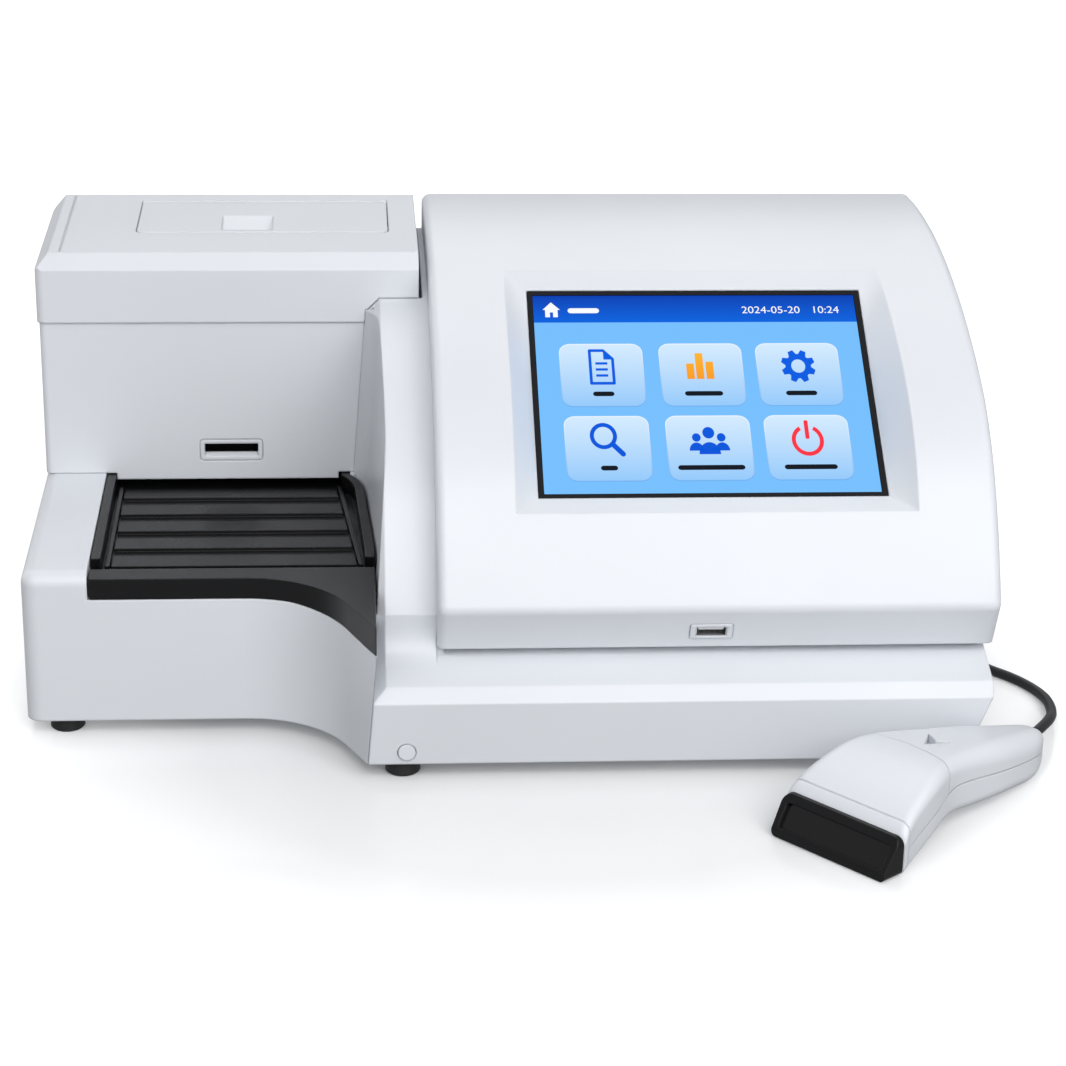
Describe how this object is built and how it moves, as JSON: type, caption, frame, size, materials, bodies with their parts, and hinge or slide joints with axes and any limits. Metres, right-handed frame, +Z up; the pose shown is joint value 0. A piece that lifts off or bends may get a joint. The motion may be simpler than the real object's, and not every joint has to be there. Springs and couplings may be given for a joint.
{
  "type": "urine analyzer",
  "caption": "Bench-top urine strip analyzer with sloping touch screen, sliding strip tray, tower with built-in printer and a corded hand scanner",
  "frame": {"origin": "middle of the footprint of analyzer and hand scanner without the scanner's lead, on the table top", "axes": "+Z up, front with tray and scanner towards -Y, +X to the operator's right, metres"},
  "size_m": [0.4542, 0.4444, 0.1835],
  "materials": {
    "housing": "fine-textured satin moulding",
    "tray_black": "satin black moulding",
    "dark_plastic": "black moulding",
    "display_ring": "gloss black",
    "screen_glass": "smooth touch glass",
    "scan_window": "dark polished window",
    "display": "lit display with plain tiles",
    "steel": "plain steel",
    "contact_white": "white moulding",
    "bottom_plate": "plain moulding",
    "rubber": "black rubber",
    "cord": "black flexible jacket",
    "paper": "matt thermal paper",
    "spindle": "grey moulding",
    "board": "green solder mask",
    "motor": "black motor case",
    "print_head": "aluminium carrier"
  },
  "bodies": {
    "analyzer": {"front_panel": "housing", "main_base": "housing", "left_base": "housing", "tower_body": "housing", "slot_frame": "housing", "slot_liner": "dark_plastic", "tower_lid": "housing", "cover_hinge_pin": "steel", "paper_bay": "dark_plastic", "paper_spindle": "spindle", "thermal_head": "print_head", "tear_bar": "steel", "display_ring": "display_ring", "touch_glass": "screen_glass", "display_module": "display", "usb_bezel": "housing", "usb_port": "steel", "usb_tongue": "contact_white", "front_plug": "housing", "main_bottom_plate": "bottom_plate", "left_bottom_plate": "bottom_plate", "rubber_feet": "rubber", "foot_screws": "steel", "reader_frame": "steel", "guide_rods": "steel", "stepper_motor": "motor", "main_board": "board", "power_switch": "dark_plastic", "power_inlet": "dark_plastic", "serial_port": "dark_plastic", "scanner_socket": "dark_plastic", "scanner_head_shell": "housing", "scanner_collar": "housing", "scanner_handle_shell": "housing", "scanner_lower_shell": "housing", "scanner_nose": "tray_black", "scanner_window": "scan_window", "scanner_strain_relief": "cord", "scanner_lead": "cord", "scanner_lead_end": "cord", "lead_coil": "cord", "scanner_plug": "cord"},
    "strip_tray": {"strip_tray": "tray_black"},
    "printer_cover": {"printer_cover": "housing"},
    "platen_roller": {"platen_roller": "rubber"},
    "paper_roll": {"paper_roll": "paper"},
    "reader_carriage": {"reader_carriage": "dark_plastic", "sensor_window": "dark_plastic"},
    "lead_screw": {"lead_screw": "steel"},
    "power_rocker": {"power_rocker": "dark_plastic"},
    "scanner_trigger": {"scanner_trigger": "tray_black"}
  },
  "joints": [
    {"name": "tray_slide", "type": "slide", "parent": "analyzer", "child": "strip_tray", "axis": [0, -1, 0], "range_m": [0, 0.09]},
    {"name": "printer_cover_hinge", "type": "hinge", "parent": "analyzer", "child": "printer_cover", "pos_m": [-0.11593, 0.16586, 0.1778], "axis": [-1, 0, 0], "range_deg": [0, 80]},
    {"name": "platen_spin", "type": "hinge", "parent": "printer_cover", "child": "platen_roller", "pos_m": [-0.11578, 0.12336, 0.1686], "axis": [1, 0, 0], "continuous": true},
    {"name": "paper_spin", "type": "hinge", "parent": "analyzer", "child": "paper_roll", "pos_m": [-0.11578, 0.14636, 0.15], "axis": [1, 0, 0], "continuous": true},
    {"name": "screw_spin", "type": "hinge", "parent": "analyzer", "child": "lead_screw", "pos_m": [-0.12978, 0.11736, 0.117], "axis": [1, 0, 0], "range_deg": [0, 2160]},
    {"name": "carriage_slide", "type": "slide", "parent": "analyzer", "child": "reader_carriage", "axis": [1, 0, 0], "range_m": [0, 0.06]},
    {"name": "power_rock", "type": "hinge", "parent": "analyzer", "child": "power_rocker", "pos_m": [0.06222, 0.17446, 0.024], "axis": [0, 0, 1], "range_deg": [-8, 8]},
    {"name": "trigger_press", "type": "slide", "parent": "analyzer", "child": "scanner_trigger", "axis": [0, 0, 1], "range_m": [0, 0.002], "stiffness_N_per_m": 400}
  ],
  "couplings": [
    {"joint": "screw_spin", "follows": "carriage_slide", "rad_per_m": 628.32}
  ]
}
